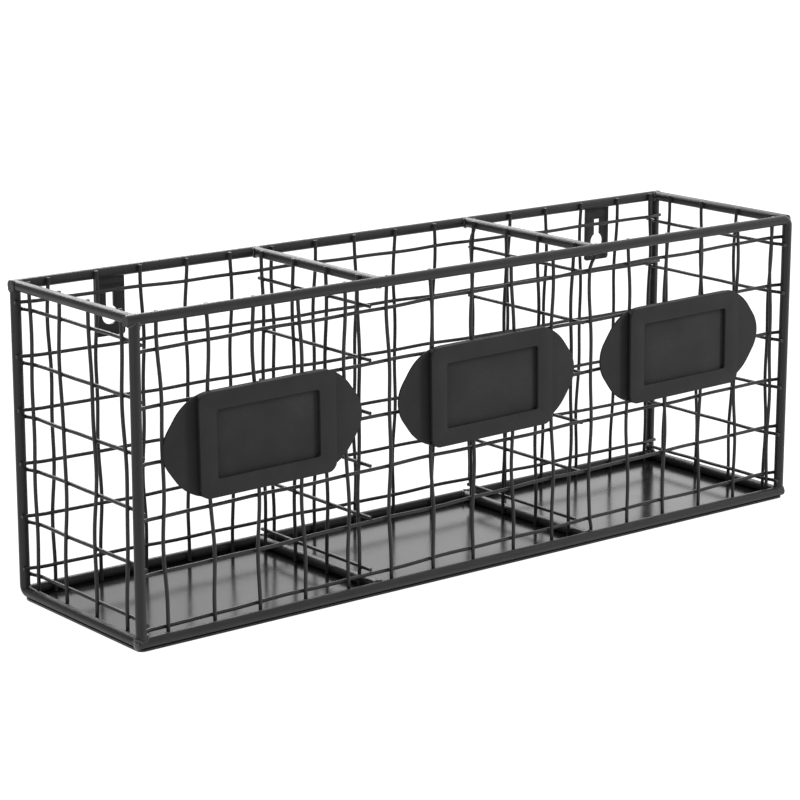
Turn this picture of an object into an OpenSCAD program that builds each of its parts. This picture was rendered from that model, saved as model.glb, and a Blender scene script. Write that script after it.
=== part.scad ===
// Flatware caddy: a welded rod frame with wire mesh walls and two dividers,
// a sheet floor, keyhole tabs for a wall, and three label holders with cards.
// Units are millimetres. The origin is the middle of the underside.
// +X runs to the right along the front, +Y to the wall side, +Z up.

/* [Overall] */
// Length over the frame rods
caddy_length = 408; // [330:1:520]
// Depth over the frame rods
caddy_depth = 104; // [88:1:140]
// Height from the underside to the top of the rim
caddy_height = 152; // [142:1:200]

/* [Frame] */
// Diameter of the frame rods
rod_d = 5; // [4:0.25:6]
// Inner radius of the bent corners
bend_inner = 0.6; // [0.4:0.1:4]
// How far the cut end of the front rail passes the left post
front_rail_tip = 2; // [0:0.1:3]
// Thickness of the floor sheet under the rods
floor_t = 1; // [0.8:0.1:2]
// How far the floor sheet stays in from the outside of the rods
floor_inset = 0.6; // [0.2:0.1:2.4]
// Corner radius of the floor sheet at the back
floor_corner = 8; // [4:0.5:10]
// Corner radius of the floor sheet at the front
floor_front_corner = 3; // [1:0.5:4]

/* [Wire mesh] */
// Diameter of the mesh wire
wire_d = 1.8; // [1.2:0.1:2]
// Distance between neighbouring wires
mesh_pitch = 25.4; // [20:0.1:32]
// How deep a weld lets one wire or rod into the next
weld_sink = 0.2; // [0.1:0.05:0.3]
// Least distance from a post axis to the first upright, before any shift
edge_least = 10.5; // [9:0.5:14]
// How far the uprights stop below the top of the rim
upright_drop = 0.5; // [0:0.1:1.5]
// Sideways wander of the uprights
upright_wander = 1; // [0:0.1:1.5]
// Up and down wander of the cross wires
crosswire_wander = 0.4; // [0:0.1:0.6]
// Longer wave of the wander
wave_long = 110; // [80:1:160]
// Shorter wave of the wander
wave_short = 47; // [35:1:70]
// Length over which a cross wire bends out to the post
joggle_run = 4.5; // [3:0.5:6]
// How far the cross wires pass the axis of the left front post
post_tip = 0.3; // [0:0.1:2.5]

/* [Front panel] */
// Height of the lowest cross wire in the middle of the front
front_row = 10; // [9:0.1:14]
// Tilt of the front panel as welded, in degrees
front_tilt = 0.9; // [0:0.1:1]
// Shift of the front uprights to the right
front_shift = 4.2; // [-4:0.1:4.5]

/* [Back panel] */
// Height of the lowest cross wire in the middle of the back
back_row = 13.5; // [12:0.1:15]
// Tilt of the back panel as welded, in degrees
back_tilt = 0.4; // [0:0.1:0.6]
// Shift of the back uprights, seen from behind
back_shift = -4.2; // [-4.5:0.1:4]
// How far the cross wires pass the axis of the right rear post
back_tip = 1.2; // [0:0.1:4]

/* [End panels] */
// Height of the lowest cross wire of the left end
left_row = 11; // [10.5:0.1:11.5]
// Height of the lowest cross wire of the right end
right_row = 9.7; // [8.5:0.1:9.8]
// Shift of the left end uprights to the front
left_shift = -4.5; // [-5:0.1:5]
// Shift of the right end uprights to the back
right_shift = -2.9; // [-5:0.1:5]
// Bulge of the left end uprights at mid height
left_bulge = 3; // [0:0.1:4]

/* [Dividers] */
// Height of the lowest cross wire of a divider
divider_row = 10.4; // [9:0.1:13]
// Shift of the divider uprights to the back
divider_shift = 1; // [-4:0.1:4]
// Clearance from a divider cross wire tip to the mesh it points at
tip_gap = 0.2; // [0.1:0.1:3]
// Shift of the right divider to the left of the third
right_divider_shift = 1; // [-4:0.1:4]
// Clearance of an upright that is bent aside round the end of a divider bar
aside_gap = 0.2; // [0.1:0.05:1]
// Height over which such an upright is bent aside
aside_run = 6; // [4:0.5:12]

/* [Hangers] */
// Distance from a post axis to the middle of a hanger
hanger_inset = 51.5; // [40:0.5:60]
// Shift of the right hanger towards its post
right_hanger_shift = 10; // [0:0.5:16]
// Width of a hanger
hanger_w = 16.4; // [14:0.1:20]
// Length of a hanger below the rail
hanger_drop = 28.6; // [24:0.1:34]
// Sheet thickness of a hanger
hanger_t = 1.5; // [1:0.1:2]
// Diameter of the round part of the keyhole
keyhole_d = 9; // [7:0.1:10]
// Width of the slot of the keyhole
keyslot_w = 4.3; // [3.5:0.1:5]
// Height of the keyhole from the round middle to the top of the slot
keyslot_rise = 12.2; // [10:0.1:14]
// Metal below the keyhole
keyhole_foot = 5.5; // [3:0.1:7]
// Corner radius at the foot of a hanger
hanger_corner = 1.5; // [0.5:0.25:3]

/* [Labels] */
// Height of the middle label above the underside
label_z = 90.5; // [80:0.5:100]
// How far the left label sits in from the middle of its third
left_label_inset = 2.4; // [0:0.1:5]
// How far the right label sits in from the middle of its third
right_label_inset = 6.6; // [0:0.1:10]
// Length of a label plate from tip to tip
plate_w = 110.4; // [100:0.1:112]
// Height of a label plate and its bezel
plate_h = 48.5; // [42:0.5:54]
// Sheet thickness of a label plate
plate_t = 1; // [0.8:0.1:1.4]
// Radius of the blunt wing tips
tip_r = 16; // [10:0.5:18]
// How far the tips are drawn out past the round of the wings
tip_point = 1.9; // [1:0.1:3]
// Length of a bezel
bezel_w = 75.5; // [68:0.5:78]
// Height of the bezel face above the plate
bezel_rise = 3.4; // [3.4:0.1:5]
// Thickness of the bezel face
bezel_face_t = 1.4; // [1:0.1:1.5]
// Thickness of the bezel walls
bezel_wall = 2.2; // [1.5:0.1:3]
// Outer corner radius of a bezel
bezel_corner = 5; // [3:0.25:6]
// Width of the bezel window
window_w = 57.1; // [48:0.1:60]
// Height of the bezel window
window_h = 31.7; // [26:0.1:34]
// Corner radius of the window
window_corner = 1.5; // [1:0.25:3]

/* [Cards] */
// Thickness of a card
card_t = 1.5; // [1:0.1:1.6]
// Clearance between a card and its pocket, each side
card_gap = 0.3; // [0.1:0.05:0.4]
// How far a card sits back from the open mouth
card_setback = 3; // [1:0.5:4]
// Clearance between a card and the plate behind it
card_lift = 0.1; // [0.05:0.05:0.2]

/* [Hidden] */
$fn = 48;

rod_r = rod_d / 2;
bend_r = rod_r + bend_inner;
wire_r = wire_d / 2;
half_l = caddy_length / 2 - rod_r;
half_d = caddy_depth / 2 - rod_r;
rim_z = caddy_height - rod_r;
base_z = floor_t + rod_r - weld_sink;
floor_l = caddy_length - 2 * floor_inset;
floor_d = caddy_depth - 2 * floor_inset;
divider_x = half_l / 3;
right_divider_x = divider_x - right_divider_shift;

// Wires: distances in from the plane of the rod axes
upright_in = rod_r + wire_r - weld_sink;
crosswire_in = upright_in + wire_d - weld_sink;
upright_lift = 0.3;
top_row_gap = 2.5;
upright_low = floor_t + upright_lift;
upright_high = caddy_height - upright_drop;
wire_sides = 6;
wire_step = mesh_pitch / 2;
aside_clear = rod_r + wire_r + aside_gap;
aside_flat = rod_r + wire_r;

// Wander: turn of the phase from wire to wire and from panel to panel, share of each wave
wire_turn = 0.618;
panel_turn = 0.371;
long_share = 0.6;

// Bulge: its middle and width as shares of the height, its share at the first upright
hump_mid = 0.47;
hump_width = 0.17;
bulge_first = 0.3;

// Hangers: flush with the back of the rods, top edge against the rail
hanger_x = half_l - hanger_inset;
hanger_back = half_d + rod_r;
hanger_top = rim_z - sqrt(pow(rod_r, 2) - pow(rod_r - hanger_t, 2));
hanger_low = hanger_top - hanger_drop;
keyhole_z = hanger_low + keyhole_foot + keyhole_d / 2;

// Labels: the plate backs rest on the front uprights
label_y = -half_d + upright_in - wire_r + weld_sink / 2;
left_label_x = -2 * divider_x + left_label_inset;
middle_label_x = 0;
right_label_x = 2 * divider_x - right_label_inset;
wing_r = plate_h / 2;
tip_run = wing_r + tip_point - tip_r;
wing_mid = plate_w / 2 - tip_r - tip_run;
pocket_h = bezel_rise - bezel_face_t;
card_right = bezel_w / 2 - bezel_wall - card_gap;
card_left = -bezel_w / 2 + card_setback;
card_h = plate_h - 2 * (bezel_wall + card_gap);

black = [0.11, 0.11, 0.11];
sheet_black = [0.16, 0.16, 0.16];
slate = [0.21, 0.21, 0.21];

function fraction(x) = x - floor(x);
function phase(index, seed) = 360 * fraction(index * wire_turn + seed * panel_turn);

// Wander of a wire at the distance s along it, from -1 to 1
function wander(s, index, seed) =
    long_share * sin(360 * s / wave_long + phase(index, seed))
    + (1 - long_share) * sin(360 * s / wave_short + phase(index + 7, seed + 3));

// A soft hump at mid height
function hump(z) = exp(-pow((z / caddy_height - hump_mid) / hump_width, 2));

// How many uprights a panel of this span takes, and where the first one stands
function upright_count(span) = floor((2 * span - 2 * edge_least) / mesh_pitch) + 1;
function upright_first(span, shift) =
    -(upright_count(span) - 1) * mesh_pitch / 2 + shift;
function row_count(row) =
    floor((rim_z - rod_r - top_row_gap - row) / mesh_pitch) + 1;

// Where an upright would run, before it is bent aside
function upright_line(u, z, index, seed, tilt, bulge) =
    u - tan(tilt) * (z - caddy_height / 2)
        + upright_wander * wander(z, index, seed) + bulge * hump(z);

// From 1 beside a divider bar to 0 at the distance of aside_run from it
function beside_bar(z) =
    let (off = min(abs(z - base_z), abs(z - rim_z)) - aside_flat)
    max(0, min(1, 1 - off / aside_run));

// How far an upright at u and z is bent aside to clear the bar ends
function aside(u, z, bars, k = 0) =
    k == len(bars) ? 0
    : let (off = u - bars[k], lack = max(0, aside_clear - abs(off)))
        (off < 0 ? -lack : lack) * beside_bar(z) + aside(u, z, bars, k + 1);

// Heights along an upright, with the ends of the bends where it is bent aside
function upright_heights(bent) =
    let (steps = ceil((upright_high - upright_low) / wire_step),
        low = base_z + aside_flat, high = rim_z - aside_flat)
    bent ? concat([upright_low, low, low + aside_run],
        [for (k = [1 : steps - 1])
            let (z = upright_low + (upright_high - upright_low) * k / steps)
            if (z > low + aside_run + 1 && z < high - aside_run - 1) z],
        [high - aside_run, high, upright_high])
    : [for (k = [0 : steps]) upright_low + (upright_high - upright_low) * k / steps];

function upright_path(u, index, seed, tilt, bulge, bars) =
    let (bent = [for (z = [base_z, rim_z])
        each [for (bar = bars)
            if (abs(upright_line(u, z, index, seed, tilt, bulge) - bar) < aside_clear) z]])
    [for (z = upright_heights(len(bent) > 0))
        let (line = upright_line(u, z, index, seed, tilt, bulge))
        [line + aside(line, z, bars), 0, z]];

// Stations along a cross wire: the end over the post, the joggle, then even steps
function stations(first, last, inner) =
    let (steps = ceil(2 * inner / mesh_pitch))
    concat([first, -inner - joggle_run],
        [for (k = [0 : steps]) -inner + 2 * inner * k / steps],
        [inner + joggle_run, last]);

function crosswire_path(span, first, last, row, index, seed, tilt) =
    let (inner = span - rod_r - joggle_run)
    [for (s = stations(first, last, inner))
        let (fade = max(0, min(1, (inner - abs(s)) / mesh_pitch)))
        [-(row + tan(tilt) * s + crosswire_wander * fade * wander(s, index, seed)),
            abs(s) > inner + 0.01 ? upright_in : crosswire_in, s]];

// A wire along Z through the points [x, y, z], with flat sides
module wire(path) {
    rings = len(path);
    turn = 360 / wire_sides;
    last = (rings - 1) * wire_sides;
    points = [for (p = path, k = [0 : wire_sides - 1])
        [p[0] + wire_r * cos(k * turn), p[1] + wire_r * sin(k * turn), p[2]]];
    skin = [for (ring = [0 : rings - 2], k = [0 : wire_sides - 1])
        let (a = ring * wire_sides + k, b = ring * wire_sides + (k + 1) % wire_sides)
        each [[a, a + wire_sides, b + wire_sides], [a, b + wire_sides, b]]];
    caps = [for (k = [1 : wire_sides - 2])
        each [[0, k, k + 1], [last, last + k + 1, last + k]]];
    polyhedron(points, concat(skin, caps), convexity = 4);
}

// Panels are drawn as the front one, then turned to their side: 0 front, 180 back
module on_side(turn, distance) {
    rotate([0, 0, turn]) translate([0, -distance, 0]) children();
}

// The uprights of a panel; bars are the places along it where divider bars end
module uprights(span, shift, seed, tilt, bulge, bars = []) {
    count = upright_count(span);
    for (i = [0 : count - 1])
        translate([0, upright_in, 0])
            wire(upright_path(upright_first(span, shift) + i * mesh_pitch, i, seed, tilt,
                bulge * (bulge_first + (1 - bulge_first) * i / max(1, count - 1)), bars));
}

module crosswires(span, row, seed, tilt, first_tip, last_tip) {
    for (i = [0 : row_count(row) - 1])
        rotate([0, 90, 0])
            wire(crosswire_path(span, -span - first_tip, span + last_tip,
                row + i * mesh_pitch, i, seed, tilt));
}

module divider_crosswires() {
    reach = half_d - crosswire_in - wire_r - tip_gap;
    level = upright_in - wire_d + weld_sink;
    for (i = [0 : row_count(divider_row) - 1])
        translate([0, level, divider_row + i * mesh_pitch])
            rotate([0, 90, 0])
                wire([[0, 0, -reach], [0, 0, reach]]);
}

// Rods
module rod_x(from, to, y, z) {
    translate([from, y, z]) rotate([0, 90, 0]) cylinder(d = rod_d, h = to - from);
}

module rod_y(x, from, to, z) {
    translate([x, from, z]) rotate([-90, 0, 0]) cylinder(d = rod_d, h = to - from);
}

module rod_z(x, y, from, to) {
    translate([x, y, from]) cylinder(d = rod_d, h = to - from);
}

module front_hoop_whole() {
    rod_x(-half_l - rod_r - front_rail_tip, half_l - bend_r, -half_d, rim_z);
    translate([half_l - bend_r, -half_d, rim_z - bend_r])
        rotate([90, 0, 0])
            rotate_extrude(angle = 90) translate([bend_r, 0]) circle(d = rod_d);
    rod_z(half_l, -half_d, base_z, rim_z - bend_r);
}

module left_hoop_whole() {
    rod_z(-half_l, half_d, base_z + bend_r, rim_z);
    translate([-half_l, half_d - bend_r, base_z + bend_r])
        rotate([0, 90, 0])
            rotate_extrude(angle = 90) translate([bend_r, 0]) circle(d = rod_d);
    rod_y(-half_l, -half_d, half_d - bend_r, base_z);
}

module back_rim() {
    rod_x(-half_l - rod_r, half_l + rod_r, half_d, rim_z);
}

module front_foot() {
    rod_x(-half_l - rod_r, half_l + rod_r, -half_d, base_z);
}

module back_foot() {
    rod_x(-half_l + rod_r, half_l + rod_r, half_d, base_z);
}

module left_front_upright() {
    rod_z(-half_l, -half_d, base_z, rim_z);
}

module right_back_upright() {
    rod_z(half_l, half_d, base_z, rim_z);
}

module front_hoop() {
    color(black) difference() {
        front_hoop_whole();
        front_foot();
    }
}

module left_hoop() {
    color(black) difference() {
        left_hoop_whole();
        back_rim();
        front_foot();
        left_front_upright();
    }
}

module back_top_rail() {
    color(black) back_rim();
}

module left_top_rail() {
    color(black) difference() {
        rod_y(-half_l, -half_d, half_d, rim_z);
        front_hoop_whole();
        back_rim();
        left_front_upright();
        left_hoop_whole();
    }
}

module right_top_rail() {
    color(black) difference() {
        rod_y(half_l, -half_d, half_d, rim_z);
        front_hoop_whole();
        back_rim();
        right_back_upright();
    }
}

module front_left_post() {
    color(black) difference() {
        left_front_upright();
        front_hoop_whole();
        front_foot();
    }
}

module back_right_post() {
    color(black) difference() {
        right_back_upright();
        back_rim();
        back_foot();
    }
}

module front_bottom_rail() {
    color(black) front_foot();
}

module back_bottom_rail() {
    color(black) back_foot();
}

module right_bottom_rail() {
    color(black) difference() {
        rod_y(half_l, -half_d, half_d, base_z);
        front_foot();
        back_foot();
        front_hoop_whole();
        right_back_upright();
    }
}

module divider_top_bar(x) {
    color(black) difference() {
        rod_y(x, -half_d, half_d, rim_z);
        front_hoop_whole();
        back_rim();
    }
}

module divider_base_bar(x) {
    color(black) difference() {
        rod_y(x, -half_d, half_d, base_z);
        front_foot();
        back_foot();
    }
}

module left_divider_top_bar() {
    divider_top_bar(-divider_x);
}

module left_divider_base_bar() {
    divider_base_bar(-divider_x);
}

module right_divider_top_bar() {
    divider_top_bar(right_divider_x);
}

module right_divider_base_bar() {
    divider_base_bar(right_divider_x);
}

// Mesh panels
module front_uprights() {
    color(black) on_side(0, half_d)
        uprights(half_l, front_shift, 1, front_tilt, 0, [-divider_x, right_divider_x]);
}

module front_crosswires() {
    color(black) on_side(0, half_d)
        crosswires(half_l, front_row, 1, front_tilt, post_tip, rod_r);
}

module back_uprights() {
    color(black) on_side(180, half_d)
        uprights(half_l, back_shift, 2, back_tilt, 0, [divider_x, -right_divider_x]);
}

module back_crosswires() {
    color(black) on_side(180, half_d)
        crosswires(half_l, back_row, 2, back_tilt, back_tip, rod_r);
}

module left_end_uprights() {
    color(black) on_side(-90, half_l) uprights(half_d, left_shift, 3, 0, left_bulge);
}

module left_end_crosswires() {
    color(black) on_side(-90, half_l) crosswires(half_d, left_row, 3, 0, rod_r, post_tip);
}

module right_end_uprights() {
    color(black) on_side(90, half_l) uprights(half_d, right_shift, 4, 0, 0);
}

module right_end_crosswires() {
    color(black) on_side(90, half_l) crosswires(half_d, right_row, 4, 0, rod_r, rod_r);
}

module left_divider_uprights() {
    color(black) on_side(90, -divider_x) uprights(half_d, divider_shift, 5, 0, 0);
}

module left_divider_crosswires() {
    color(black) on_side(90, -divider_x) divider_crosswires();
}

module right_divider_uprights() {
    color(black) on_side(90, right_divider_x) uprights(half_d, divider_shift, 6, 0, 0);
}

module right_divider_crosswires() {
    color(black) on_side(90, right_divider_x) divider_crosswires();
}

// Sheet parts
module rounded(w, h, r) {
    square([w - 2 * r, h], center = true);
    square([w, h - 2 * r], center = true);
    for (x = [-1, 1], y = [-1, 1])
        translate([x * (w / 2 - r), y * (h / 2 - r)]) circle(r = r);
}

module floor_plate() {
    color(sheet_black) linear_extrude(floor_t) {
        rounded(floor_l, floor_d, floor_corner);
        for (side = [-1, 1])
            translate([side * (floor_l / 2 - floor_corner), floor_corner - floor_d / 2])
                rounded(2 * floor_corner, 2 * floor_corner, floor_front_corner);
    }
}

module hanger(x) {
    color(sheet_black)
        translate([x, hanger_back, 0])
            rotate([90, 0, 0]) linear_extrude(hanger_t) difference() {
                union() {
                    translate([-hanger_w / 2, hanger_low + hanger_corner])
                        square([hanger_w, hanger_drop - hanger_corner]);
                    translate([-hanger_w / 2 + hanger_corner, hanger_low])
                        square([hanger_w - 2 * hanger_corner, hanger_corner]);
                    for (side = [-1, 1])
                        translate([side * (hanger_w / 2 - hanger_corner),
                            hanger_low + hanger_corner])
                            circle(r = hanger_corner);
                }
                translate([0, keyhole_z]) circle(d = keyhole_d);
                translate([-keyslot_w / 2, keyhole_z]) square([keyslot_w, keyslot_rise]);
            }
}

module left_hanger() {
    hanger(-hanger_x);
}

module right_hanger() {
    hanger(hanger_x + right_hanger_shift);
}

// A label stands on the front mesh and follows its tilt
module at_label(x) {
    translate([x, label_y, label_z + x * tan(front_tilt)])
        rotate([90, -front_tilt, 0]) children();
}

// Round wings drawn out to a blunt tip
module wing() {
    lean = acos((wing_r - tip_r) / tip_run);
    translate([wing_mid, 0]) {
        circle(r = wing_r);
        translate([tip_run, 0]) circle(r = tip_r);
        polygon([
            [wing_r * cos(lean), wing_r * sin(lean)],
            [wing_r * cos(lean), -wing_r * sin(lean)],
            [tip_run + tip_r * cos(lean), -tip_r * sin(lean)],
            [tip_run + tip_r * cos(lean), tip_r * sin(lean)]
        ]);
    }
}

module label_plate(x) {
    color(sheet_black) at_label(x) linear_extrude(plate_t) {
        square([2 * wing_mid, plate_h], center = true);
        wing();
        mirror([1, 0]) wing();
    }
}

module label_bezel(x) {
    color(black) at_label(x) translate([0, 0, plate_t]) difference() {
        linear_extrude(bezel_rise) difference() {
            rounded(bezel_w, plate_h, bezel_corner);
            rounded(window_w, window_h, window_corner);
        }
        translate([-bezel_w / 2 - 1, -plate_h / 2 + bezel_wall, -1])
            cube([bezel_w + 1 - bezel_wall, plate_h - 2 * bezel_wall, pocket_h + 1]);
    }
}

module label_card(x) {
    color(slate) at_label(x)
        translate([card_left, -card_h / 2, plate_t + card_lift])
            cube([card_right - card_left, card_h, card_t]);
}

module left_label_plate() {
    label_plate(left_label_x);
}

module left_label_bezel() {
    label_bezel(left_label_x);
}

module left_label_card() {
    label_card(left_label_x);
}

module middle_label_plate() {
    label_plate(middle_label_x);
}

module middle_label_bezel() {
    label_bezel(middle_label_x);
}

module middle_label_card() {
    label_card(middle_label_x);
}

module right_label_plate() {
    label_plate(right_label_x);
}

module right_label_bezel() {
    label_bezel(right_label_x);
}

module right_label_card() {
    label_card(right_label_x);
}

front_hoop();
left_hoop();
back_top_rail();
left_top_rail();
right_top_rail();
front_left_post();
back_right_post();
front_bottom_rail();
back_bottom_rail();
right_bottom_rail();
left_divider_top_bar();
left_divider_base_bar();
right_divider_top_bar();
right_divider_base_bar();
front_uprights();
front_crosswires();
back_uprights();
back_crosswires();
left_end_uprights();
left_end_crosswires();
right_end_uprights();
right_end_crosswires();
left_divider_uprights();
left_divider_crosswires();
right_divider_uprights();
right_divider_crosswires();
floor_plate();
left_hanger();
right_hanger();
left_label_plate();
left_label_bezel();
left_label_card();
middle_label_plate();
middle_label_bezel();
middle_label_card();
right_label_plate();
right_label_bezel();
right_label_card();
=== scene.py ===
"""A black wire flatware caddy: coated rods, wandering mesh wires, welds, labels and cards."""

import math

import bpy
from bpy.props import FloatProperty, PointerProperty, StringProperty
from mathutils import Matrix, Vector


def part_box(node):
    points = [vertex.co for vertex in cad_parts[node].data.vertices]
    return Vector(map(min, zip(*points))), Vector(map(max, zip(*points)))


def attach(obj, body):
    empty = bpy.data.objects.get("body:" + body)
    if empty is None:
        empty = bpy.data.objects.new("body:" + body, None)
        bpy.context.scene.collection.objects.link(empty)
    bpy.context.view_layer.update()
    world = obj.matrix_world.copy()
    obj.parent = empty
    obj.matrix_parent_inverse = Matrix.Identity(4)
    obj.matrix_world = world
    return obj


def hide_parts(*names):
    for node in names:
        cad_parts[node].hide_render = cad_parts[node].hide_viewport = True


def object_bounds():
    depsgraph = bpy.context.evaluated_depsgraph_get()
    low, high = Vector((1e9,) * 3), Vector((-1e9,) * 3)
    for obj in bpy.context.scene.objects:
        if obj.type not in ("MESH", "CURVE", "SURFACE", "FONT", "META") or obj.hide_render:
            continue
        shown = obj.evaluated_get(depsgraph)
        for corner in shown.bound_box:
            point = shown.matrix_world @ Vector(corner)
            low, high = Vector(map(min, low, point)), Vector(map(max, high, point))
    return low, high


bl_info = {
    "name": "Flatware Caddy",
    "version": (1, 0, 0),
    "blender": (4, 5, 0),
    "location": "3D View > Sidebar > Caddy",
    "description": "Dresses a wire flatware caddy with coated wires, welds and label cards",
    "category": "Object",
}

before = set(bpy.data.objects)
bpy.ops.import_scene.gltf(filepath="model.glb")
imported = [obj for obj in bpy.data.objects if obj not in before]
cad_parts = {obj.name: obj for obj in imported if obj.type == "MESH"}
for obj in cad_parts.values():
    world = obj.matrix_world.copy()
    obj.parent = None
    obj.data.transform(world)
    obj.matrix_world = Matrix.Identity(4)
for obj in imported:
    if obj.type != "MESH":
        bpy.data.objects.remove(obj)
CAD_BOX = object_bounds()
MM = 0.001

FLOOR_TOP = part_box("floor_plate")[1][2]
RIM_LOW, RIM_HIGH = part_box("back_top_rail")
ROD_D = RIM_HIGH[2] - RIM_LOW[2]

RODS = (
    "front_hoop", "left_hoop", "back_top_rail", "left_top_rail", "right_top_rail",
    "front_left_post", "back_right_post", "front_bottom_rail", "back_bottom_rail",
    "right_bottom_rail", "left_divider_top_bar", "left_divider_base_bar",
    "right_divider_top_bar", "right_divider_base_bar",
)
LABELS = ("left", "middle", "right")

# Coats: size of the cloudy patches, their darkest and lightest tone, depth of the peel
CLOUD_SIZE = 14 * MM
CLOUD_TONES = (0.75, 1.3)
PEEL_DEPTH = 0.05 * MM
PAINT_IOR = 1.5
POWDER_COATS = {
    "rod": dict(name="satin_powder_coat_rod", colour="rod_coat", roughness=0.38, spread=0.05,
                peel_mm=1.6, peel=0.12, specular=0.25),
    "weld": dict(name="glossy_powder_coat_weld", colour="rod_coat", roughness=0.18, spread=0.04,
                 peel_mm=1.6, peel=0.1, specular=0.6),
    "wire": dict(name="satin_powder_coat_wire", colour="wire_coat", roughness=0.32, spread=0.05,
                 peel_mm=1.2, peel=0.15, specular=0.22),
    "floor": dict(name="smooth_powder_coat_floor", colour="floor_coat", roughness=0.16,
                  spread=0.02, peel_mm=6.0, peel=0.02, specular=0.28),
    "label": dict(name="matte_powder_coat_label", colour="label_coat", roughness=0.72,
                  spread=0.04, peel_mm=1.3, peel=0.15, specular=0.1),
}

# Chalkboard: size of the wiped clouds, size and depth of the grit
CARD_COAT = "chalkboard_card"
WIPE_SIZE = 22 * MM
GRIT_SIZE = 0.9 * MM
GRIT_DEPTH = 0.04 * MM

# Meshing: distances at which points merge, angles of smooth and rounded edges
TUBE_MERGE = 0.01 * MM
SHEET_MERGE = 0.002 * MM
FLAT_ANGLE = math.radians(0.6)
TUBE_SMOOTH = math.radians(50)
BEVEL_ANGLE = math.radians(40)
BEVEL_SMOOTH = math.radians(35)
BEVEL_STEPS = 3
SHEET_EDGE = 0.25 * MM
CARD_EDGE = 0.2 * MM

# Wires: clear of the floor and the rim, room at the ends of a row, length of a drawn step
UPRIGHT_LIFT = 0.3 * MM
UPRIGHT_DROP = 0.5 * MM
ROW_ROOM = 21 * MM
TOP_ROW_GAP = 2.5 * MM
JOGGLE = 4.5 * MM
DIVIDER_GAP = 2.4 * MM
TIP_TRIM = 0.1 * MM
POST_TIP = 0.3 * MM
UPRIGHT_STEP = 3 * MM
CROSS_STEP = 4 * MM

# Wander: turn of the phase from wire to wire and panel to panel, share of each wave, and
# how many wires and panels on the short wave takes its phase
WIRE_TURN, PANEL_TURN = 0.618, 0.371
LONG_SHARE, SHORT_SHARE = 0.6, 0.4
SHORT_WIRE, SHORT_PANEL = 7, 3

# Bulge: middle and width as shares of the height, share at the first and added to the last
HUMP_MIDDLE, HUMP_WIDTH = 0.47, 0.17
BULGE_FIRST, BULGE_REST = 0.3, 0.7

# Weld beads: points round a rod, stand-off, saddle softness, swells as (size, ripples)
BEAD_POINTS = 40
BEAD_OFF = 1.02
SADDLE_SOFT = 0.03
FINE_RIPPLE, FINE_COUNT = 0.22, 9
COARSE_RIPPLE, COARSE_COUNT = 0.12, 4

# Burr on the rail end: points, radius, thickness, setback, swell and its ripples
BURR_POINTS = 28
BURR_RADIUS = 2.15 * MM
BURR_THICK = 0.25 * MM
BURR_BACK = 0.3 * MM
BURR_SWELL, BURR_RIPPLES = 0.15, 5

# Mesh welds: shapes as shares of the nugget radius, depth of those on the rods
CROSSING_LUMP = (1.0, 0.8, 1.0)
UPRIGHT_LUMP = (1.0, 0.7, 1.5)
CROSS_LUMP = (1.5, 0.7, 1.0)
ROD_LUMP_IN = 0.15 * MM

# Stage: aim of the lamps, place and angles of the camera
LAMP_AIM = (0, 0, 0.08)
SKY_WAY = (0.95, 0.3, 0.0)
SKY_POWER = 4.0
CAMERA_PLACE = (-0.818, -1.007, 0.39)
CAMERA_TURN = math.radians(38.53)
CAMERA_RISE = math.radians(13.68)
CAMERA_LENS = 121.5
CAMERA_SENSOR = 36
CAMERA_NEAR = 0.05


class CaddySizes(bpy.types.PropertyGroup):
    """Sizes of the frame and its mesh"""

    wire_d: FloatProperty(
        name="Wire Diameter", description="Diameter of the mesh wire with its coat",
        default=1.8 * MM, min=0.001, max=0.003, unit="LENGTH", precision=4)
    pitch: FloatProperty(
        name="Mesh Pitch", description="Distance between neighbouring wires",
        default=25.4 * MM, min=0.015, max=0.04, unit="LENGTH", precision=4)
    aside_run: FloatProperty(
        name="Aside Run", description="Height over which a wire is bent aside round a divider bar",
        default=6 * MM, min=0.003, max=0.015, unit="LENGTH", precision=4)
    aside_gap: FloatProperty(
        name="Aside Gap", description="Clearance of such a wire from the bar",
        default=0.2 * MM, min=0.0, max=0.001, unit="LENGTH", precision=4)
    sink: FloatProperty(
        name="Weld Sink", description="How deep a weld lets one wire into the next",
        default=0.2 * MM, min=0.0, max=0.0005, unit="LENGTH", precision=4)
    upright_wander: FloatProperty(
        name="Upright Wander", description="Sideways wander of the uprights",
        default=1.0 * MM, min=0.0, max=0.003, unit="LENGTH", precision=4)
    cross_wander: FloatProperty(
        name="Cross Wire Wander", description="Up and down wander of the cross wires",
        default=0.4 * MM, min=0.0, max=0.002, unit="LENGTH", precision=4)
    wave_long: FloatProperty(
        name="Long Wave", description="Longer wave of the wander",
        default=110 * MM, min=0.05, max=0.3, unit="LENGTH")
    wave_short: FloatProperty(
        name="Short Wave", description="Shorter wave of the wander",
        default=47 * MM, min=0.02, max=0.1, unit="LENGTH")
    bead_r: FloatProperty(
        name="Bead Radius", description="Radius of the weld bead round a rod joint",
        default=0.7 * MM, min=0.0002, max=0.002, unit="LENGTH", precision=4)
    nugget_r: FloatProperty(
        name="Nugget Radius", description="Radius of the weld lump at a wire crossing",
        default=1.1 * MM, min=0.0005, max=0.003, unit="LENGTH", precision=4)
    edge_r: FloatProperty(
        name="Edge Radius", description="Rounding of the pressed sheet edges",
        default=0.5 * MM, min=0.0001, max=0.001, unit="LENGTH", precision=4)


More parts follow.
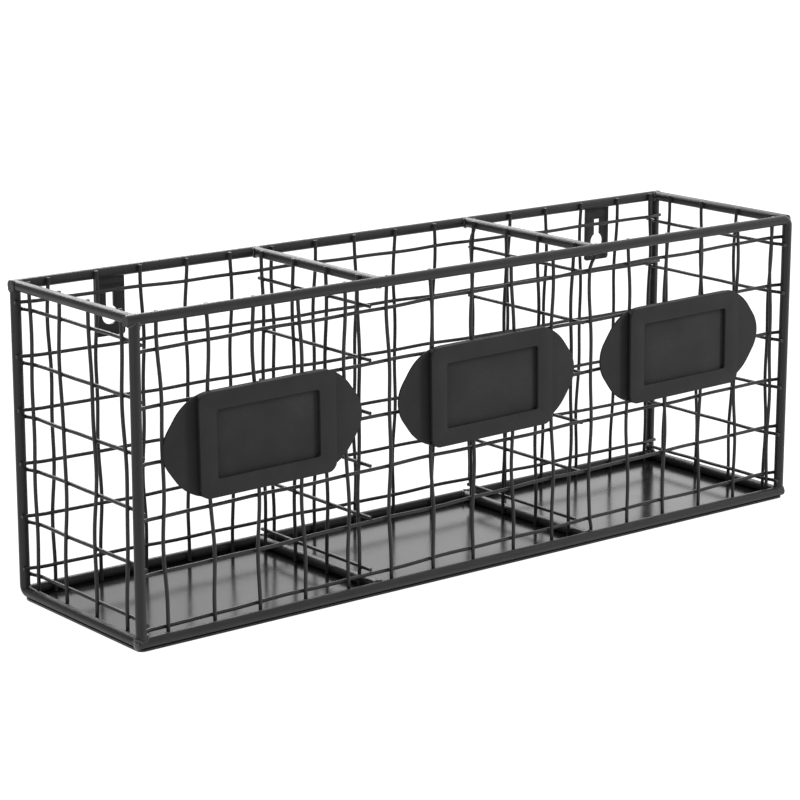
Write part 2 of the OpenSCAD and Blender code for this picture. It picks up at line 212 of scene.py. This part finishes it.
class CaddyFinish(bpy.types.PropertyGroup):
    """Colours of the coats and the stage, as sRGB hex values"""

    rod_coat: StringProperty(
        name="Rod Coat", description="Powder coat of the frame rods", default="#202021")
    wire_coat: StringProperty(
        name="Wire Coat", description="Powder coat of the mesh wires", default="#262627")
    floor_coat: StringProperty(
        name="Floor Coat", description="Smooth coat of the floor sheet", default="#141415")
    label_coat: StringProperty(
        name="Label Coat", description="Matte coat of the label plates and bezels",
        default="#272728")
    slate: StringProperty(
        name="Slate", description="Chalkboard face of the cards", default="#232323")
    chalk_haze: StringProperty(
        name="Chalk Haze", description="Wiped chalk left on the cards", default="#3b3b3b")
    stage: StringProperty(
        name="Stage", description="Floor that the caddy stands on", default="#5e5e5e")


def sizes():
    return bpy.context.scene.caddy_sizes


def finish():
    return bpy.context.scene.caddy_finish


# Materials


def linear(code):
    """An sRGB hex value as linear red, green, blue and alpha."""
    parts = [int(code[i:i + 2], 16) / 255 for i in (1, 3, 5)]
    return [c / 12.92 if c <= 0.04045 else ((c + 0.055) / 1.055) ** 2.4 for c in parts] + [1.0]


def add(tree, kind, settings=None, **links):
    """Adds a node, sets what is named in settings, then fills or links its inputs."""
    node = tree.nodes.new(kind)
    for name, value in (settings or {}).items():
        setattr(node, name, value)
    for name, value in links.items():
        socket = node.inputs[int(name[1:]) if name[1:].isdigit() else name.replace("_", " ")]
        if isinstance(value, bpy.types.NodeSocket):
            tree.links.new(value, socket)
        else:
            socket.default_value = value
    return node


def new_material(name):
    material = bpy.data.materials.new(name)
    material.use_nodes = True
    material.node_tree.nodes.clear()
    return material, material.node_tree


def powder_coat(name, colour, roughness, spread, peel_mm, peel, specular):
    """Polyester powder coat baked on steel, in a colour of the finish group: black with a
    soft sheen, and an orange peel of small rounded bumps that breaks up the highlights.
    Peel finer than a millimetre does not show here, so it is drawn a little coarser."""
    material, tree = new_material(name)
    place = add(tree, "ShaderNodeTexCoord").outputs["Object"]
    peel_noise = add(tree, "ShaderNodeTexNoise", Vector=place, Scale=1 / (peel_mm * MM),
                     Detail=2.0, Roughness=0.5)
    cloud = add(tree, "ShaderNodeTexNoise", Vector=place, Scale=1 / CLOUD_SIZE, Detail=3.0,
                Roughness=0.6)
    shade = linear(getattr(finish(), colour))[:3]
    dark, light = ([c * factor for c in shade] + [1.0] for factor in CLOUD_TONES)
    tone = add(tree, "ShaderNodeMix", {"data_type": "RGBA"}, i0=cloud.outputs["Fac"], i6=dark,
               i7=light)
    rough = add(tree, "ShaderNodeMapRange", Value=cloud.outputs["Fac"], From_Min=0.3,
                From_Max=0.7, To_Min=roughness - spread, To_Max=roughness + spread)
    bump = add(tree, "ShaderNodeBump", Strength=peel, Distance=PEEL_DEPTH,
               Height=peel_noise.outputs["Fac"])
    shader = add(tree, "ShaderNodeBsdfPrincipled", Base_Color=tone.outputs[2],
                 Roughness=rough.outputs["Result"], Normal=bump.outputs["Normal"],
                 IOR=PAINT_IOR, Specular_IOR_Level=specular)
    add(tree, "ShaderNodeOutputMaterial", Surface=shader.outputs["BSDF"])
    return material


def chalkboard(name, colour, haze):
    """Slate paint on a thin card: dead matte and a little gritty, with the faint cloudy
    haze that wiped chalk leaves."""
    material, tree = new_material(name)
    place = add(tree, "ShaderNodeTexCoord").outputs["Object"]
    wipe = add(tree, "ShaderNodeTexNoise", Vector=place, Scale=1 / WIPE_SIZE, Detail=3.0,
               Roughness=0.5)
    grit = add(tree, "ShaderNodeTexNoise", Vector=place, Scale=1 / GRIT_SIZE, Detail=2.0)
    amount = add(tree, "ShaderNodeMapRange", Value=wipe.outputs["Fac"], From_Min=0.35,
                 From_Max=0.7, To_Min=0.05, To_Max=0.5)
    speck = add(tree, "ShaderNodeMath", {"operation": "MULTIPLY"}, i0=amount.outputs["Result"],
                i1=grit.outputs["Fac"])
    tone = add(tree, "ShaderNodeMix", {"data_type": "RGBA"}, i0=speck.outputs["Value"],
               i6=linear(colour), i7=linear(haze))
    bump = add(tree, "ShaderNodeBump", Strength=0.35, Distance=GRIT_DEPTH,
               Height=grit.outputs["Fac"])
    shader = add(tree, "ShaderNodeBsdfPrincipled", Base_Color=tone.outputs[2], Roughness=0.85,
                 Normal=bump.outputs["Normal"], IOR=PAINT_IOR, Specular_IOR_Level=0.2)
    add(tree, "ShaderNodeOutputMaterial", Surface=shader.outputs["BSDF"])
    return material


def coat(kind):
    """The coat of that kind, made on first use."""
    if kind == "card":
        look = finish()
        return bpy.data.materials.get(CARD_COAT) or chalkboard(CARD_COAT, look.slate, look.chalk_haze)
    recipe = POWDER_COATS[kind]
    return bpy.data.materials.get(recipe["name"]) or powder_coat(**recipe)


# Modelling helpers


def deselect():
    if bpy.context.mode != "OBJECT":
        bpy.ops.object.mode_set(mode="OBJECT")
    bpy.ops.object.select_all(action="DESELECT")


def activate(piece):
    deselect()
    piece.select_set(True)
    bpy.context.view_layer.objects.active = piece


def paint(piece, kind):
    piece.data.materials.clear()
    piece.data.materials.append(coat(kind))


def tubes(name, paths, radius, closed=False, sides=2):
    """Round tubes along lists of (point, radius factor), made as one mesh."""
    deselect()
    bpy.ops.curve.primitive_nurbs_path_add(location=(0, 0, 0))
    piece = bpy.context.active_object
    piece.name = name
    curve = piece.data
    curve.splines.clear()
    curve.dimensions = "3D"
    curve.bevel_depth = radius
    curve.bevel_resolution = sides
    curve.use_fill_caps = True
    for path in paths:
        spline = curve.splines.new("POLY")
        spline.points.add(len(path) - 1)
        spline.use_cyclic_u = closed
        for point, (place, swell) in zip(spline.points, path):
            point.co = (*place, 1.0)
            point.radius = swell
    activate(piece)
    bpy.ops.object.convert(target="MESH")
    piece = bpy.context.active_object
    bpy.ops.object.mode_set(mode="EDIT")
    bpy.ops.mesh.select_all(action="SELECT")
    bpy.ops.mesh.remove_doubles(threshold=TUBE_MERGE)
    bpy.ops.mesh.normals_make_consistent(inside=False)
    bpy.ops.object.mode_set(mode="OBJECT")
    bpy.ops.object.shade_smooth_by_angle(angle=TUBE_SMOOTH)
    return piece


def eased_copy(node, name, edge):
    """A copy of a CAD node, merged, with its sharp edges rounded."""
    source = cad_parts[node]
    piece = source.copy()
    piece.data = source.data.copy()
    piece.name = name
    piece.parent = None
    piece.matrix_world = Matrix()
    bpy.context.scene.collection.objects.link(piece)
    activate(piece)
    bpy.ops.mesh.customdata_custom_splitnormals_clear()
    bpy.ops.object.mode_set(mode="EDIT")
    bpy.ops.mesh.select_all(action="SELECT")
    bpy.ops.mesh.remove_doubles(threshold=SHEET_MERGE)
    bpy.ops.mesh.dissolve_limited(angle_limit=FLAT_ANGLE)
    bpy.ops.object.mode_set(mode="OBJECT")
    bevel = piece.modifiers.new("Eased edges", "BEVEL")
    bevel.width = edge
    bevel.segments = BEVEL_STEPS
    bevel.limit_method = "ANGLE"
    bevel.angle_limit = BEVEL_ANGLE
    bevel.use_clamp_overlap = True
    bpy.ops.object.modifier_apply(modifier=bevel.name)
    bpy.ops.object.shade_smooth_by_angle(angle=BEVEL_SMOOTH)
    return piece


def repeated(name, model, places):
    """One mesh of copies of a small model mesh, each turned and placed by a matrix."""
    verts, faces = [], []
    for place in places:
        start = len(verts)
        verts += [place @ v.co for v in model.vertices]
        faces += [[start + i for i in f.vertices] for f in model.polygons]
    mesh = bpy.data.meshes.new(name)
    mesh.from_pydata(verts, [], faces)
    mesh.polygons.foreach_set("use_smooth", [True] * len(mesh.polygons))
    piece = bpy.data.objects.new(name, mesh)
    bpy.context.scene.collection.objects.link(piece)
    return piece


# Mesh panels, drawn as the front one and turned to their side


def half_length():
    return (RIM_HIGH[0] - RIM_LOW[0] - ROD_D) / 2


def half_depth():
    return RIM_HIGH[1] - ROD_D / 2


def rim_z():
    return RIM_HIGH[2] - ROD_D / 2


def base_z():
    return FLOOR_TOP + ROD_D / 2 - sizes().sink


def divider_x(side):
    low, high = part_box(f"{side}_divider_top_bar")
    return (low[0] + high[0]) / 2


class MeshPanel:
    """A mesh panel: where it stands and how it was welded."""

    def __init__(self, turn, away, span, row, shift, seed, tilt=0.0, bulge=0.0, tips=(0.0, 0.0),
                 divider=False, bars=(), bare_post=None):
        self.turn, self.away, self.span = math.radians(turn), away, span
        self.row, self.slope, self.shift = row, math.tan(math.radians(tilt)), shift
        self.seed, self.bulge, self.tips, self.divider = seed, bulge, tips, divider
        self.bars, self.bare_post = bars, bare_post

    def world(self, along, inward, up):
        y = inward - self.away
        c, s = math.cos(self.turn), math.sin(self.turn)
        return Vector((along * c - y * s, along * s + y * c, up))

    def uprights(self):
        """Number, place along the panel and share of the bulge of each upright."""
        count = math.floor((2 * self.span - ROW_ROOM) / sizes().pitch) + 1
        first = -(count - 1) * sizes().pitch / 2 + self.shift
        return [(i, first + i * sizes().pitch, BULGE_FIRST + BULGE_REST * i / max(1, count - 1))
                for i in range(count)]

    def rows(self):
        count = math.floor((rim_z() - ROD_D / 2 - TOP_ROW_GAP - self.row) / sizes().pitch) + 1
        return [(i, self.row + i * sizes().pitch) for i in range(count)]

    def wander(self, along, index):
        def wave(length, i, seed):
            turn = i * WIRE_TURN + seed * PANEL_TURN
            return math.sin(math.tau * along / length + math.tau * (turn - math.floor(turn)))
        return (LONG_SHARE * wave(sizes().wave_long, index, self.seed)
                + SHORT_SHARE * wave(sizes().wave_short, index + SHORT_WIRE, self.seed + SHORT_PANEL))

    def upright_at(self, upright, z):
        index, along, share = upright
        height = RIM_HIGH[2]
        hump = math.exp(-((z / height - HUMP_MIDDLE) / HUMP_WIDTH) ** 2)
        along += sizes().upright_wander * self.wander(z, index) + self.bulge * share * hump
        along -= self.slope * (z - height / 2)
        return along + self.aside(along, z)

    def aside(self, along, z):
        """How far a wire is bent aside there to clear the ends of the divider bars."""
        close = (ROD_D + sizes().wire_d) / 2
        off = min(abs(z - base_z()), abs(z - rim_z())) - close
        share = max(0.0, min(1.0, 1 - off / sizes().aside_run))
        share *= share * (3 - 2 * share)
        moved = 0.0
        for bar in self.bars:
            lack = max(0.0, close + sizes().aside_gap - abs(along - bar))
            moved += math.copysign(lack * share, along - bar)
        return moved

    def row_at(self, row, along):
        if self.divider:
            return row[1]
        inner = self.span - ROD_D / 2 - JOGGLE
        fade = max(0.0, min(1.0, (inner - abs(along)) / sizes().pitch))
        return row[1] + self.slope * along + sizes().cross_wander * fade * self.wander(along, row[0])

    def upright_in(self):
        return ROD_D / 2 + sizes().wire_d / 2 - sizes().sink

    def cross_in(self, along=0.0):
        step = sizes().wire_d - sizes().sink
        if self.divider:
            return self.upright_in() - step
        bend = (abs(along) - (self.span - ROD_D / 2 - JOGGLE)) / JOGGLE
        bend = max(0.0, min(1.0, bend))
        return self.upright_in() + step * (1 - bend * bend * (3 - 2 * bend))

    def cross_ends(self):
        if self.divider:
            reach = self.span - self.upright_in() - DIVIDER_GAP
            return -reach, reach
        return -self.span - self.tips[0] + TIP_TRIM, self.span + self.tips[1] - TIP_TRIM


def panels():
    length, depth, rod = half_length(), half_depth(), ROD_D / 2
    left, right = divider_x("left"), divider_x("right")
    return {
        "front": MeshPanel(turn=0, away=depth, span=length, row=10 * MM, shift=4.2 * MM, seed=1,
                           tilt=0.9, tips=(POST_TIP, rod), bars=(left, right), bare_post=-1),
        "back": MeshPanel(turn=180, away=depth, span=length, row=13.5 * MM, shift=-4.2 * MM,
                          seed=2, tilt=0.4, tips=(1.2 * MM, rod), bars=(-left, -right)),
        "left_end": MeshPanel(turn=-90, away=length, span=depth, row=11 * MM, shift=-4.5 * MM,
                              seed=3, bulge=3 * MM, tips=(rod, POST_TIP), bare_post=1),
        "right_end": MeshPanel(turn=90, away=length, span=depth, row=9.7 * MM, shift=-2.9 * MM,
                               seed=4, tips=(rod, rod)),
        "left_divider": MeshPanel(turn=90, away=left, span=depth, row=10.4 * MM, shift=1 * MM,
                                  seed=5, divider=True),
        "right_divider": MeshPanel(turn=90, away=right, span=depth, row=10.4 * MM, shift=1 * MM,
                                   seed=6, divider=True),
    }


def steps(low, high, step):
    count = max(1, round((high - low) / step))
    return [low + (high - low) * i / count for i in range(count + 1)]


class CADDY_OT_rods(bpy.types.Operator):
    """Coat the frame rods"""

    bl_idname = "caddy.rods"
    bl_label = "Frame Rods"

    def execute(self, context):
        for node in RODS:
            paint(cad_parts[node], "rod")
        return {"FINISHED"}


class CADDY_OT_corner_welds(bpy.types.Operator):
    """Run a weld bead round each rod that butts against another"""

    bl_idname = "caddy.corner_welds"
    bl_label = "Corner Welds"

    def execute(self, context):
        length, depth = half_length(), half_depth()
        left, right = divider_x("left"), divider_x("right")
        up, back = Vector((0, 0, 1)), Vector((0, 1, 0))
        down, ahead = -up, -back
        joints = []
        for x, y in ((-length, -depth), (length, -depth), (length, depth)):
            joints.append((Vector((x, y, base_z())), up))
        for x, y in ((-length, -depth), (length, depth), (-length, depth)):
            joints.append((Vector((x, y, rim_z())), down))
        for x in (-length, left, right, length):
            joints.append((Vector((x, -depth, base_z())), back))
            joints.append((Vector((x, depth, rim_z())), ahead))
        for x in (-length, left, right):
            joints.append((Vector((x, -depth, rim_z())), back))
        for x in (left, right, length):
            joints.append((Vector((x, depth, base_z())), ahead))
        paths = [self.bead(place, out, number) for number, (place, out) in enumerate(joints)]
        beads = tubes("corner_welds", paths, sizes().bead_r, closed=True)
        for piece in (beads, self.lumps(), self.burr()):
            paint(piece, "weld")
            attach(piece, "caddy")
        return {"FINISHED"}

    def lumps(self):
        """Heavier welds at the front left post: under the rail, at the foot, on the rail end.
        Each has a place and, in millimetres, three half sizes."""
        x, y = -half_length(), -half_depth()
        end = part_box("front_bottom_rail")[0][0]
        under_rail = (x + 0.3 * MM, y - 1.0 * MM, rim_z() - 3.3 * MM)
        foot_right = (x + 2.5 * MM, y - 0.7 * MM, base_z() + 2.6 * MM)
        foot_left = (x - 2.2 * MM, y + 0.6 * MM, base_z() + 2.5 * MM)
        deselect()
        made = []
        for place, size in ((under_rail, (2.3, 1.4, 2.7)), (foot_right, (1.6, 1.2, 1.3)),
                            (foot_left, (0.9, 1.5, 1.2)), ((end, y, base_z()), (0.9, 2.45, 2.45))):
            bpy.ops.mesh.primitive_uv_sphere_add(segments=24, ring_count=14, radius=MM,
                                                 location=place)
            bpy.context.active_object.scale = size
            made.append(bpy.context.active_object)
        for lump in made:
            lump.select_set(True)
        bpy.ops.object.join()
        bpy.ops.object.transform_apply(location=True, rotation=True, scale=True)
        bpy.ops.object.shade_smooth()
        piece = bpy.context.active_object
        piece.name = "corner_lumps"
        return piece

    def burr(self):
        """The rim that the cutter left on the end of the front rail."""
        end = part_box("front_hoop")[0][0]
        ring = []
        for k in range(BURR_POINTS):
            turn = math.tau * k / BURR_POINTS
            point = Vector((end + BURR_BACK, -half_depth() + BURR_RADIUS * math.cos(turn),
                            rim_z() + BURR_RADIUS * math.sin(turn)))
            ring.append((point, 1 + BURR_SWELL * math.sin(BURR_RIPPLES * turn)))
        return tubes("rail_end_burr", [ring], BURR_THICK, closed=True)

    def bead(self, place, out, number):
        """The saddle line where a rod along out meets a rod along X, with weld ripples."""
        along, radius = Vector((1, 0, 0)), ROD_D / 2 * BEAD_OFF
        across = out.cross(along)
        path = []
        for k in range(BEAD_POINTS):
            turn = math.tau * k / BEAD_POINTS
            ride = radius * math.sqrt(math.cos(turn) ** 2 + SADDLE_SOFT)
            point = place + out * ride
            point += along * radius * math.cos(turn) + across * radius * math.sin(turn)
            swell = (1 + FINE_RIPPLE * math.sin(FINE_COUNT * turn + number)
                     + COARSE_RIPPLE * math.sin(COARSE_COUNT * turn + 2 * number))
            edge = BEAD_OFF * swell * sizes().bead_r
            inside = [max(low + edge, min(high - edge, c))
                      for c, low, high in zip(point, *CAD_BOX)]
            path.append((Vector(inside), swell))
        return path


class CADDY_OT_mesh_wires(bpy.types.Operator):
    """Draw the uprights and cross wires of every panel as round wires"""

    bl_idname = "caddy.mesh_wires"
    bl_label = "Mesh Wires"

    def execute(self, context):
        low, high = FLOOR_TOP + UPRIGHT_LIFT, RIM_HIGH[2] - UPRIGHT_DROP
        for name, panel in panels().items():
            uprights = [[(panel.world(panel.upright_at(u, z), panel.upright_in(), z), 1.0)
                         for z in steps(low, high, UPRIGHT_STEP)] for u in panel.uprights()]
            crosses = [[(panel.world(s, panel.cross_in(s), panel.row_at(row, s)), 1.0)
                        for s in steps(*panel.cross_ends(), CROSS_STEP)] for row in panel.rows()]
            for kind, paths in (("uprights", uprights), ("crosswires", crosses)):
                piece = tubes(f"{name}_{kind}_wires", paths, sizes().wire_d / 2, sides=4)
                paint(piece, "wire")
                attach(piece, "caddy")
                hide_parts(f"{name}_{kind}")
        return {"FINISHED"}


class CADDY_OT_mesh_welds(bpy.types.Operator):
    """Put a small weld lump at each wire crossing and where wires meet rods"""

    bl_idname = "caddy.mesh_welds"
    bl_label = "Mesh Welds"

    def execute(self, context):
        deselect()
        bpy.ops.mesh.primitive_uv_sphere_add(segments=8, ring_count=5, radius=1.0)
        model = bpy.context.active_object
        places = []
        for panel in panels().values():
            places += self.crossings(panel) + self.rod_ends(panel)
        piece = repeated("mesh_welds", model.data, places)
        bpy.data.objects.remove(model)
        paint(piece, "wire")
        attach(piece, "caddy")
        return {"FINISHED"}

    def lump(self, panel, along, inward, up, shape):
        size = Matrix.Diagonal((*(sizes().nugget_r * s for s in shape), 1.0))
        place = Matrix.Translation(panel.world(along, inward, up))
        return place @ Matrix.Rotation(panel.turn, 4, "Z") @ size

    def crossings(self, panel):
        middle = (panel.upright_in() + panel.cross_in()) / 2
        found = []
        for upright in panel.uprights():
            for row in panel.rows():
                z = panel.row_at(row, upright[1])
                along = panel.upright_at(upright, z)
                up = panel.row_at(row, along)
                found.append(self.lump(panel, along, middle, up, CROSSING_LUMP))
        return found

    def rod_ends(self, panel):
        found = []
        inward = ROD_D / 2 + ROD_LUMP_IN
        for upright in panel.uprights():
            for z in (base_z(), rim_z()):
                along = panel.upright_at(upright, z)
                found.append(self.lump(panel, along, inward, z, UPRIGHT_LUMP))
        if panel.divider:
            return found
        for row in panel.rows():
            for end in (-1, 1):
                if end != panel.bare_post:
                    along = end * panel.span
                    up = panel.row_at(row, along)
                    found.append(self.lump(panel, along, inward, up, CROSS_LUMP))
        return found


class CADDY_OT_floor_plate(bpy.types.Operator):
    """Coat the floor sheet"""

    bl_idname = "caddy.floor_plate"
    bl_label = "Floor Plate"

    def execute(self, context):
        paint(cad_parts["floor_plate"], "floor")
        return {"FINISHED"}


class CADDY_OT_hangers(bpy.types.Operator):
    """Ease the edges of the keyhole tabs and coat them"""

    bl_idname = "caddy.hangers"
    bl_label = "Hangers"

    def execute(self, context):
        for side in ("left", "right"):
            piece = eased_copy(f"{side}_hanger", f"{side}_hanger_tab", SHEET_EDGE)
            paint(piece, "rod")
            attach(piece, "caddy")
            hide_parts(f"{side}_hanger")
        return {"FINISHED"}


class CADDY_OT_label_plates(bpy.types.Operator):
    """Ease the winged label plates and coat them"""

    bl_idname = "caddy.label_plates"
    bl_label = "Label Plates"

    def execute(self, context):
        for side in LABELS:
            piece = eased_copy(f"{side}_label_plate", f"{side}_label_wings", SHEET_EDGE)
            paint(piece, "label")
            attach(piece, "caddy")
            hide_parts(f"{side}_label_plate")
        return {"FINISHED"}


class CADDY_OT_label_bezels(bpy.types.Operator):
    """Round the edges of the label bezels and coat them"""

    bl_idname = "caddy.label_bezels"
    bl_label = "Label Bezels"

    def execute(self, context):
        for side in LABELS:
            piece = eased_copy(f"{side}_label_bezel", f"{side}_label_frame", sizes().edge_r)
            paint(piece, "label")
            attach(piece, "caddy")
            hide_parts(f"{side}_label_bezel")
        return {"FINISHED"}


class CADDY_OT_label_cards(bpy.types.Operator):
    """Round the edges of the chalkboard cards and paint them"""

    bl_idname = "caddy.label_cards"
    bl_label = "Label Cards"

    def execute(self, context):
        for side in LABELS:
            piece = eased_copy(f"{side}_label_card", f"{side}_chalk_card", CARD_EDGE)
            paint(piece, "card")
            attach(piece, f"{side}_card")
            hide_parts(f"{side}_label_card")
        return {"FINISHED"}


class CADDY_OT_stage(bpy.types.Operator):
    """Set the pale floor, the soft lights and the camera"""

    bl_idname = "caddy.stage"
    bl_label = "Stage"

    def execute(self, context):
        scene = context.scene
        scene.view_settings.view_transform = "Standard"
        self.floor()
        self.sky(scene)
        self.lamp("back_softbox", (0.22, 1.14, 0.95), LAMP_AIM, wide=1.2, tall=0.4, power=17)
        front = self.lamp("front_softbox", (0.98, -0.78, 0.75), LAMP_AIM, wide=0.3, tall=0.9,
                          power=24)
        front.visible_glossy = False  # no stripe of it on the rails
        self.lamp("left_softbox", (-1.15, -0.45, 0.4), (-0.2, 0, 0.08), wide=0.3, tall=0.8,
                  power=3)
        self.camera(scene)
        return {"FINISHED"}

    def floor(self):
        deselect()
        bpy.ops.mesh.primitive_plane_add(size=16, location=(0, 3, 0))
        piece = bpy.context.active_object
        piece.name = "stage_floor"
        material, tree = new_material("stage_paper")
        shader = add(tree, "ShaderNodeBsdfPrincipled", Base_Color=linear(finish().stage),
                     Roughness=0.9, Emission_Color=(1, 1, 1, 1), Emission_Strength=0.95)
        add(tree, "ShaderNodeOutputMaterial", Surface=shader.outputs["BSDF"])
        piece.data.materials.append(material)

    def sky(self, scene):
        """Brightest at the right behind the caddy, dim on the camera's side."""
        world = bpy.data.worlds.new("studio")
        world.use_nodes = True
        tree = world.node_tree
        tree.nodes.clear()
        way = add(tree, "ShaderNodeTexCoord").outputs["Generated"]
        right = add(tree, "ShaderNodeVectorMath", {"operation": "DOT_PRODUCT"}, i0=way,
                    i1=SKY_WAY).outputs["Value"]
        share = add(tree, "ShaderNodeMapRange", Value=right, From_Min=-0.6, From_Max=0.95)
        lobe = add(tree, "ShaderNodeMath", {"operation": "POWER"}, i0=share.outputs["Result"],
                   i1=SKY_POWER)
        shade = add(tree, "ShaderNodeMapRange", Value=lobe.outputs["Value"], To_Min=0.45,
                    To_Max=2.3)
        glow = add(tree, "ShaderNodeBackground", Color=(1, 1, 1, 1),
                   Strength=shade.outputs["Result"])
        add(tree, "ShaderNodeOutputWorld", Surface=glow.outputs["Background"])
        scene.world = world

    def lamp(self, name, place, target, wide, tall, power):
        deselect()
        bpy.ops.object.light_add(type="AREA", location=place)
        lamp = bpy.context.active_object
        lamp.name = name
        lamp.data.shape = "RECTANGLE"
        lamp.data.size = wide
        lamp.data.size_y = tall
        lamp.data.energy = power
        aim = Vector(target) - Vector(place)
        lamp.rotation_euler = aim.to_track_quat("-Z", "Y").to_euler()
        return lamp

    def camera(self, scene):
        deselect()
        bpy.ops.object.camera_add(location=CAMERA_PLACE)
        camera = bpy.context.active_object
        camera.name = "photo_camera"
        camera.data.sensor_width = CAMERA_SENSOR
        camera.data.lens = CAMERA_LENS
        camera.data.clip_start = CAMERA_NEAR
        level = Matrix.Rotation(-CAMERA_TURN, 3, "Z")
        tipped = Matrix.Rotation(math.pi / 2 - CAMERA_RISE, 3, "X")
        camera.rotation_euler = (level @ tipped).to_euler()
        scene.camera = camera


class CADDY_PT_panel(bpy.types.Panel):
    """Lists the steps that dress the caddy"""

    bl_label = "Flatware Caddy"
    bl_idname = "CADDY_PT_panel"
    bl_space_type = "VIEW_3D"
    bl_region_type = "UI"
    bl_category = "Caddy"

    def draw(self, context):
        column = self.layout.column()
        for group in (context.scene.caddy_sizes, context.scene.caddy_finish):
            for name in group.__annotations__:
                column.prop(group, name)
        for step in STEPS:
            column.operator(step.bl_idname)


STEPS = (
    CADDY_OT_rods, CADDY_OT_corner_welds, CADDY_OT_mesh_wires, CADDY_OT_mesh_welds,
    CADDY_OT_floor_plate, CADDY_OT_hangers, CADDY_OT_label_plates, CADDY_OT_label_bezels,
    CADDY_OT_label_cards, CADDY_OT_stage,
)
CLASSES = (CaddySizes, CaddyFinish, *STEPS, CADDY_PT_panel)


def register():
    for item in CLASSES:
        bpy.utils.register_class(item)
    bpy.types.Scene.caddy_sizes = PointerProperty(type=CaddySizes)
    bpy.types.Scene.caddy_finish = PointerProperty(type=CaddyFinish)


def unregister():
    del bpy.types.Scene.caddy_finish
    del bpy.types.Scene.caddy_sizes
    for item in reversed(CLASSES):
        bpy.utils.unregister_class(item)


def main():
    register()
    bpy.ops.caddy.rods()
    bpy.ops.caddy.corner_welds()
    bpy.ops.caddy.mesh_wires()
    bpy.ops.caddy.mesh_welds()
    bpy.ops.caddy.floor_plate()
    bpy.ops.caddy.hangers()
    bpy.ops.caddy.label_plates()
    bpy.ops.caddy.label_bezels()
    bpy.ops.caddy.label_cards()
    bpy.ops.caddy.stage()


if __name__ == "__main__":
    main()
